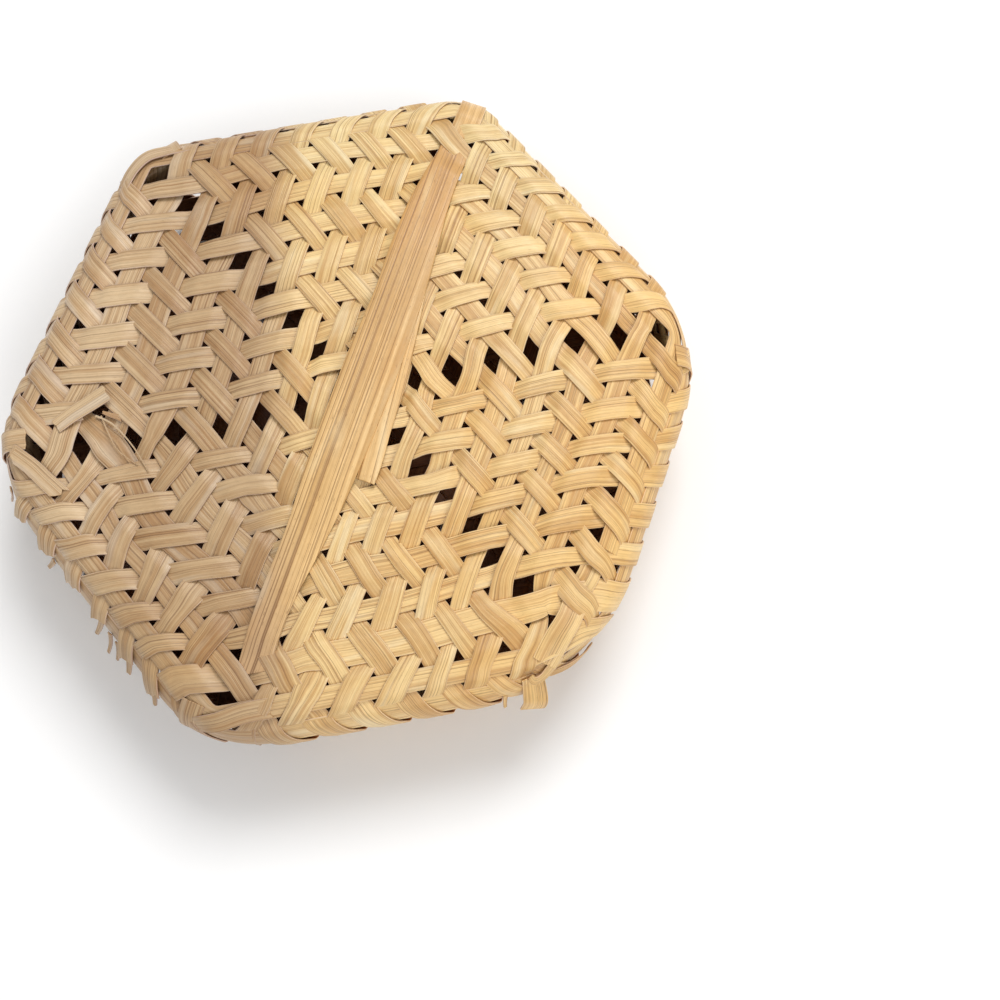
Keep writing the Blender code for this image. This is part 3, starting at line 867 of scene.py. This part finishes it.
def bamboo(name, colours, pale, deep, lines, flecks, across=1.0, along=1.0, painted_sheen=1.0):
    """A bamboo material from the fibre group, with painted light and shade laid over it in the object's
    space: a painted shadow over the -X side that lightens again by the rim, a painted sheen at the far end,
    and warm patches that grow towards +X as painted warm light.
    """
    material, sheet, shader = new_material(name)
    fibre = sheet.add("ShaderNodeGroup", {
        "Pale": (*pale, 1), "Deep": (*deep, 1), "Line": (*colours.line, 1), "Cut": (*colours.cut, 1),
        "Painted glint": (*colours.painted_glint, 1), "Lines": lines, "Flecks": flecks, "Across": across, "Along": along,
    }, node_tree=bpy.data.node_groups.get("Split bamboo") or fibre_group()).outputs
    where = sheet.add("ShaderNodeTexCoord").outputs["Object"]
    patches = sheet.add("ShaderNodeTexNoise", {"Vector": where, "Scale": WARM_SCALE, "Detail": 2.0})
    place = sheet.add("ShaderNodeSeparateXYZ", {"Vector": where}).outputs
    # More warm patches towards +X: painted warm light on that side
    patches = sheet.math("MULTIPLY_ADD", place["X"], PAINTED_WARM_LIGHT_ALONG_X, patches.outputs["Fac"])
    colour = sheet.mix(sheet.ramp(patches, *WARM_REACH), fibre["Color"], WARM_TINT, "MULTIPLY")
    # Painted shadow beyond a slanting border on the -X side
    side = sheet.math("MULTIPLY_ADD", place["Y"], PAINTED_SHADOW_SLANT, place["X"])
    unshadowed = sheet.ramp(side, *PAINTED_SHADOW_BORDER)
    # Painted sheen at the far end, only outside the painted shadow
    far_sheen = sheet.math("MULTIPLY", sheet.ramp(place["Y"], *PAINTED_SHEEN_BORDER), painted_sheen)
    colour = sheet.mix(sheet.math("MULTIPLY", far_sheen, unshadowed), colour, PAINTED_SHEEN_TINT, "MULTIPLY")
    # By the -X rim the painted shadow gives way to painted light: lighter and bluer there
    rim_side = sheet.math("MULTIPLY_ADD", place["Y"], PAINTED_RIM_LIGHT_SLANT, place["X"])
    shadow_tint = sheet.mix(sheet.ramp(rim_side, *PAINTED_RIM_LIGHT), PAINTED_RIM_LIGHT_TINT, PAINTED_SHADOW_TINT)
    colour = sheet.mix(sheet.math("SUBTRACT", 1.0, unshadowed), colour, shadow_tint, "MULTIPLY")
    bump = sheet.add("ShaderNodeBump", {"Height": fibre["Height"], "Strength": RELIEF_STRENGTH,
                                        "Distance": RELIEF_DEPTH}).outputs[0]
    for key, value in (("Base Color", colour), ("Roughness", fibre["Roughness"]), ("Normal", bump)):
        sheet.feed(shader[key], value)
    return material


class BASKET_OT_lid_plait(bpy.types.Operator):
    """Plaits the lid from three families of strips and two hoops"""

    bl_idname = "basket.lid_plait"
    bl_label = "Plait the lid"

    def execute(self, context):
        sizes, colours = context.scene.basket_sizes, context.scene.basket_colours
        form = lid_form(sizes)
        material = bamboo("lid strips", colours, colours.pale, colours.deep, lines=0.6, flecks=0.45)
        plait(form, sizes, "lid_ribbon", "lid", material, LID_SEED,
              lambda family, number: f"lid_{family}_strip_{number:02d}")
        hoop(form, "lid_fold_ring", FOLD_RING, sizes.strip_width, sizes, "lid", material,
             LID_HOOP_SEED, "lid_fold_hoop", HOOP_GAP)
        hoop(form, "lid_wall_ring", WALL_HOOP_RING, WALL_HOOP_WIDER * sizes.strip_width, sizes, "lid",
             material, LID_HOOP_SEED + 1, "lid_wall_hoop")
        return {"FINISHED"}


class BASKET_OT_base_plait(bpy.types.Operator):
    """Plaits the base, a box one size smaller than the lid"""

    bl_idname = "basket.base_plait"
    bl_label = "Plait the base"

    def execute(self, context):
        sizes, colours = context.scene.basket_sizes, context.scene.basket_colours
        form = base_form(sizes)
        material = bamboo("base strips", colours, colours.pale, colours.deep, lines=0.6, flecks=0.45)
        plait(form, sizes, "base_ribbon", "base", material, BASE_SEED,
              lambda family, number: "base_tray")
        for ring in range(FOLD_RING, math.floor(form.rim) + 1):
            hoop(form, f"base_ring_{ring:02d}", ring, sizes.strip_width, sizes, "base",
                 material, BASE_HOOP_SEED + ring, "base_tray")
        return {"FINISHED"}


class BASKET_OT_splints(bpy.types.Operator):
    """Lays the long and the short splint on the lid"""

    bl_idname = "basket.splints"
    bl_label = "Lay the splints"

    def execute(self, context):
        sizes, colours = context.scene.basket_sizes, context.scene.basket_colours
        form = lid_form(sizes)
        material = bamboo("outer cane", colours, colours.splint_pale, colours.splint_deep, lines=0.78,
                          flecks=0.8, across=1.8, along=0.35, painted_sheen=0.0)
        top = 1.5 * sizes.layer + sizes.splint_thickness / 2 + SPLINT_GAP
        pile = sizes.splint_thickness + SPLINTS_APART

        def long_height(along):
            return (top + pile * between(along, *OVER_SHORT)) * between(along, *ON_TOP)

        splint(form, sizes, "lid_long_splint_face", LONG_SPLINT, LONG_SPLINT_GRAIN, long_height, (-1, 1),
               SPLINT_TILT, material, SPLINT_SEED, "lid_long_splint")
        splint(form, sizes, "lid_short_splint_face", SHORT_SPLINT, SHORT_SPLINT_GRAIN, lambda along: top,
               (0, 0), 0.0, material, SPLINT_SEED + 1, "lid_short_splint")
        return {"FINISHED"}


# Loose pieces on the lid: name, seed, widths at both ends, how torn, thickness against a strip's, tone, node
# and path, which says how the points that follow are measured: on the face, on the edge or in the air
CORNER_PIECES = (
    ("lid_corner_wrap", 600, (5.3, 4.9), 0.1, 1, 0.45, "lid_long_splint", on_edge, (7.3, 7.7, -0.3),
     (7.65, 7.7, 0.0), (7.95, 7.73, 0.4), (8.4, 7.8, 0.42), (9.0, 7.9, 0.4), (9.9, 8.0, 0.4)),
    ("lid_corner_fold", 611, (3.6, 3.5), 0.1, 1, 0.3, "lid_fold_hoop", on_edge, (8.3, 14.8, 0.2),
     (8.2, 15.4, 0.5), (8.16, 15.9, 0.6), (8.2, 16.4, 0.5), (8.3, 16.9, 0.2)),
    ("lid_hoop_end_over", 612, (3.9, 4.7), 0.1, 1, 0.4, "lid_fold_hoop", on_face, (38.6, -39.4, -0.7),
     (36.6, -42.4, -0.4), (34.4, -44.9, -0.45), (32.0, -49.0, 0.45), (29.2, -52.2, 0.6), on_edge,
     (8.25, 39.3, 0.5)),
    ("lid_hoop_end_under", 613, (3.7, 3.7), 0.1, 1, 0.5, "lid_fold_hoop", on_edge, (8.0, 38.9, -0.35),
     on_face, (25.9, -53.9, -0.3), (29.5, -53.0, -0.3), on_edge, (8.12, 40.4, 0.1), (8.75, 40.8, 0.4),
     (9.4, 41.1, 0.4)),
    ("lid_hoop_turn", 614, (3.6, 3.4), 0.25, 1, 0.35, "lid_fold_hoop", on_edge, (8.0, 33.3, 0.2),
     (8.0, 32.7, 0.55), (8.2, 32.2, 0.6), (8.45, 31.9, 0.6), (8.75, 31.65, 0.3)))
TORN_PIECES = (
    ("lid_torn_strip", 601, (2.8, 3.3), 0.15, 1, 0.2, "lid_a_strip_08", on_face, (-53.0, 2.5, 0.7),
     (-50.0, 4.1, 0.9), (-46.4, 5.6, 1.2), (-42.9, 7.0, 1.7)),
    ("lid_torn_stub", 602, (1.3, 0.5), 0.5, 1, 1.6, "lid_a_strip_08", on_face, (-41.0, 2.0, 0.3),
     (-42.2, 2.6, 0.5), (-43.3, 3.1, 0.7), (-44.3, 3.7, 0.8)),
    ("lid_splinter_1", 603, (0.4, 0.2), 0.0, 0.6, 0.0, "lid_a_strip_08", on_face, (-45.6, 3.2, 0.9),
     (-42.4, 0.6, 1.5), (-39.4, -4.0, 1.3), (-37.2, -9.2, 0.8)),
    ("lid_splinter_2", 604, (0.3, 0.15), 0.0, 0.5, 0.3, "lid_a_strip_08", on_face, (-44.6, 3.0, 0.9),
     (-43.4, -0.8, 1.6), (-42.0, -4.4, 1.2), (-39.0, -7.6, 0.8)),
    ("lid_hoop_end", 605, (3.2, 3.0), 0.6, 1, 0.5, "lid_fold_hoop", on_face, (-53.2, -10.4, 0.5),
     (-55.4, -7.6, 0.8), (-58.0, -4.2, 0.9), on_edge, (7.85, 24.1, 1.0)),
    ("lid_left_wrap", 606, (4.2, 3.8), 0.2, 1, 0.3, "lid_a_strip_07", on_edge, (7.5, 23.8, 0.7),
     (8.1, 23.8, 0.7), (8.7, 23.8, 0.7), (9.3, 23.8, 0.7), (9.85, 23.8, 0.7)),
    ("lid_tab", 607, (4.5, 4.4), 0.05, 1, 0.25, "lid_b_strip_14", on_edge, (8.6, 39.0, 0.3),
     (8.95, 38.95, 0.4), in_air, (23.7, -61.4, 19.0), (23.0, -62.2, 15.4)),
    ("lid_edge_band", 608, (1.4, 1.4), 0.1, 1, 0.9, "lid_wall_hoop", on_edge, (8.75, 39.2, 0.4),
     (8.9, 39.5, 0.9), (9.1, 39.85, 1.1), (9.35, 40.2, 0.9), (9.65, 40.5, 0.5)),
    ("lid_curl", 609, (1.8, 1.3), 0.1, 1, 0.6, "lid_c_strip_01", on_edge, (8.3, 39.7, 0.6),
     (8.5, 39.4, 0.9), (8.62, 39.15, 1.4), (8.58, 38.95, 1.7), (8.4, 38.9, 1.6)),
    ("lid_hole_scrap", 610, (1.8, 1.5), 0.3, 1, 0.2, "lid_fold_hoop", on_face, (36.4, -45.2, -2.6),
     (38.2, -43.4, -1.7), (40.0, -41.4, -2.6)))
# Pairs of strips fold over three of the corners: each corner's turn and node, and where the two of a pair lie
CORNER_STRIPS = ((0.0, "lid_a_strip_08"), (15.9, "lid_b_strip_14"), (32.1, "lid_b_strip_01"))
CORNER_PAIR = (("over", -0.6, 0.45), ("under", 0.6, -0.35))
CORNER_RINGS = (8.05, 8.5, 9.0, 9.5, 9.85)
CORNER_WIDTHS = (4.3, 3.9)
# Torn fibres along the edge: ring, turn, turn at the end, length, width in millimetres and how far out
FRAYS = ((8.9, 28.5, 28.45, 0.6, 1.3, 1.9), (9.0, 28.8, 28.9, 0.6, 1.0, 2.4),
         (9.0, 29.05, 29.2, 0.45, 0.9, 1.8), (8.9, 29.5, 29.6, 0.5, 1.6, 1.6),
         (9.0, 24.7, 24.8, 0.5, 1.2, 1.2), (9.0, 26.7, 26.6, 0.5, 1.2, 1.5),
         (8.9, 30.4, 30.5, 0.5, 1.2, 1.3), (9.0, 38.3, 38.2, 0.5, 0.9, 1.2))
FRAY_TAPER = 0.6
FRAY_SHARES = (0, 0.35, 0.7, 1)


class BASKET_OT_loose_ends(bpy.types.Operator):
    """Lays the loose and torn ends on the lid's face and along its edge"""

    bl_idname = "basket.loose_ends"
    bl_label = "Lay the loose ends"

    def execute(self, context):
        sizes = context.scene.basket_sizes
        form = lid_form(sizes)
        strip, cane = (bpy.data.materials[name] for name in ("lid strips", "outer cane"))
        thin = sizes.strip_thickness

        def lay(name, seed, widths, torn, thickness, tone, node, *path):
            points = []
            for step in path:
                if callable(step):
                    measure = step
                else:
                    points.append(measure(form, *step))
            material = cane if node == "lid_long_splint" else strip
            scrap(name, points, widths, torn, thin * thickness, seed, material, node, tone)

        for piece in CORNER_PIECES:
            lay(*piece)
        for number, (turn, node) in enumerate(CORNER_STRIPS, 1):
            for part, side, lift in CORNER_PAIR:
                path = [on_edge(form, ring, turn + side, lift) for ring in CORNER_RINGS]
                seed = CORNER_SEED + 2 * number + (lift > 0)
                scrap(f"lid_corner_strip_{number}_{part}", path, CORNER_WIDTHS, torn=0.1, thickness=thin,
                      seed=seed, material=strip, node=node, tone=0.45)
        for piece in TORN_PIECES:
            lay(*piece)
        for number, (ring, turn, end_turn, length, width, out) in enumerate(FRAYS, 1):
            path = [on_edge(form, ring + length * share, turn + (end_turn - turn) * share,
                            0.5 + out * share ** 2) for share in FRAY_SHARES]
            scrap(f"lid_fray_{number}", path, (width, width * FRAY_TAPER), torn=0.3, thickness=thin,
                  seed=FRAY_SEED + number, material=strip, node="lid_wall_hoop", tone=0.5)
        return {"FINISHED"}


# The photograph's view
CAMERA_PLACE = (0.01555, -0.08058, 0.22416)
CAMERA_FORWARD = (0.0409, 0.2657, -0.9632)
CAMERA_UP = (0.1794, 0.9464, 0.2687)
CAMERA_LENS = 41.4
CAMERA_SENSOR = 36
FLOOR_SIZE = 3.0
FLOOR_ROUGHNESS = 0.8
FLOOR_GLOW = 0.14                # added where the camera sees the floor, so that it comes out white
FLOOR_GLOW_REACH = (0.068, 0.095)  # from the middle outwards; none under the basket
FAR_GLOW = 0.42                  # added further out, where the lamps no longer reach
FAR_GLOW_REACH = (0.25, 1.1)
WORLD_LIGHT = 0.42
LAMPS = (("key", (0.22, 0.32, 0.55), 0.3, 2.6), ("fill", (0.15, -0.5, 0.45), 0.4, 1.6))   # place, size, power


def seen_directly(sheet):
    """1 where a camera ray, or a ray in a reflection or a glass, meets the surface."""
    rays = sheet.add("ShaderNodeLightPath").outputs
    return sheet.math("MAXIMUM", sheet.math("MAXIMUM", rays["Is Camera Ray"], rays["Is Glossy Ray"]),
                      rays["Is Transmission Ray"])


class BASKET_OT_stage(bpy.types.Operator):
    """Sets the floor, the soft lamps and the camera"""

    bl_idname = "basket.stage"
    bl_label = "Set the stage"

    def execute(self, context):
        scene = context.scene
        deselect_all()
        bpy.ops.mesh.primitive_plane_add(size=FLOOR_SIZE)
        floor = context.object
        floor.name = "floor"
        material, sheet, shader = new_material("floor")
        place = sheet.add("ShaderNodeTexCoord").outputs["Object"]
        away = sheet.add("ShaderNodeVectorMath", {0: place}, operation="LENGTH").outputs["Value"]
        lit = sheet.math("MULTIPLY", sheet.ramp(away, *FLOOR_GLOW_REACH), FLOOR_GLOW)
        lit = sheet.math("MULTIPLY_ADD", sheet.ramp(away, *FAR_GLOW_REACH), FAR_GLOW, lit)
        glow = sheet.grey(sheet.math("MULTIPLY", seen_directly(sheet), lit))
        for key, value in (("Base Color", (*scene.basket_colours.floor, 1)), ("Roughness", FLOOR_ROUGHNESS),
                           ("Emission Color", glow), ("Emission Strength", 1.0)):
            sheet.feed(shader[key], value)
        floor.data.materials.append(material)

        world = bpy.data.worlds.new("studio")
        scene.world = world
        world.use_nodes = True
        sky = world.node_tree.nodes["Background"]
        sky.inputs["Color"].default_value = (1, 1, 1, 1)
        sheet = NodeSheet(world.node_tree)
        strength = sheet.math("MULTIPLY_ADD", seen_directly(sheet), 1 - WORLD_LIGHT, WORLD_LIGHT)
        sheet.feed(sky.inputs["Strength"], strength)

        for name, place, size, power in LAMPS:
            lamp = bpy.data.lights.new(name, "AREA")
            lamp.energy = power
            lamp.size = size
            obj = bpy.data.objects.new(name, lamp)
            obj.location = place
            obj.rotation_euler = (-Vector(place)).to_track_quat("-Z", "Y").to_euler()
            scene.collection.objects.link(obj)

        camera = bpy.data.cameras.new("photo view")
        camera.lens = CAMERA_LENS
        camera.sensor_width = CAMERA_SENSOR
        obj = bpy.data.objects.new("photo view", camera)
        forward = Vector(CAMERA_FORWARD).normalized()
        right = forward.cross(Vector(CAMERA_UP)).normalized()
        up = right.cross(forward)
        turned = Matrix((right, up, -forward)).transposed()
        obj.matrix_world = Matrix.Translation(CAMERA_PLACE) @ turned.to_4x4()
        scene.collection.objects.link(obj)
        scene.camera = obj
        scene.view_settings.view_transform = "Standard"
        return {"FINISHED"}


class BASKET_PT_panel(bpy.types.Panel):
    """The steps that build the basket"""

    bl_label = "Bamboo basket"
    bl_idname = "BASKET_PT_panel"
    bl_space_type = "VIEW_3D"
    bl_region_type = "UI"
    bl_category = "Basket"

    def draw(self, context):
        for group in (context.scene.basket_sizes, context.scene.basket_colours):
            for name in group.__annotations__:
                self.layout.prop(group, name)
        for step in STEPS:
            self.layout.operator(step.bl_idname)


STEPS = (BASKET_OT_stage, BASKET_OT_base_plait, BASKET_OT_lid_plait, BASKET_OT_splints, BASKET_OT_loose_ends)
CLASSES = (BasketSizes, BasketColours, *STEPS, BASKET_PT_panel)


def register():
    for item in CLASSES:
        bpy.utils.register_class(item)
    bpy.types.Scene.basket_sizes = PointerProperty(type=BasketSizes)
    bpy.types.Scene.basket_colours = PointerProperty(type=BasketColours)


def unregister():
    del bpy.types.Scene.basket_sizes
    del bpy.types.Scene.basket_colours
    for item in reversed(CLASSES):
        bpy.utils.unregister_class(item)


def main():
    register()
    for step in STEPS:
        group, name = step.bl_idname.split(".")
        getattr(getattr(bpy.ops, group), name)()


if __name__ == "__main__":
    main()
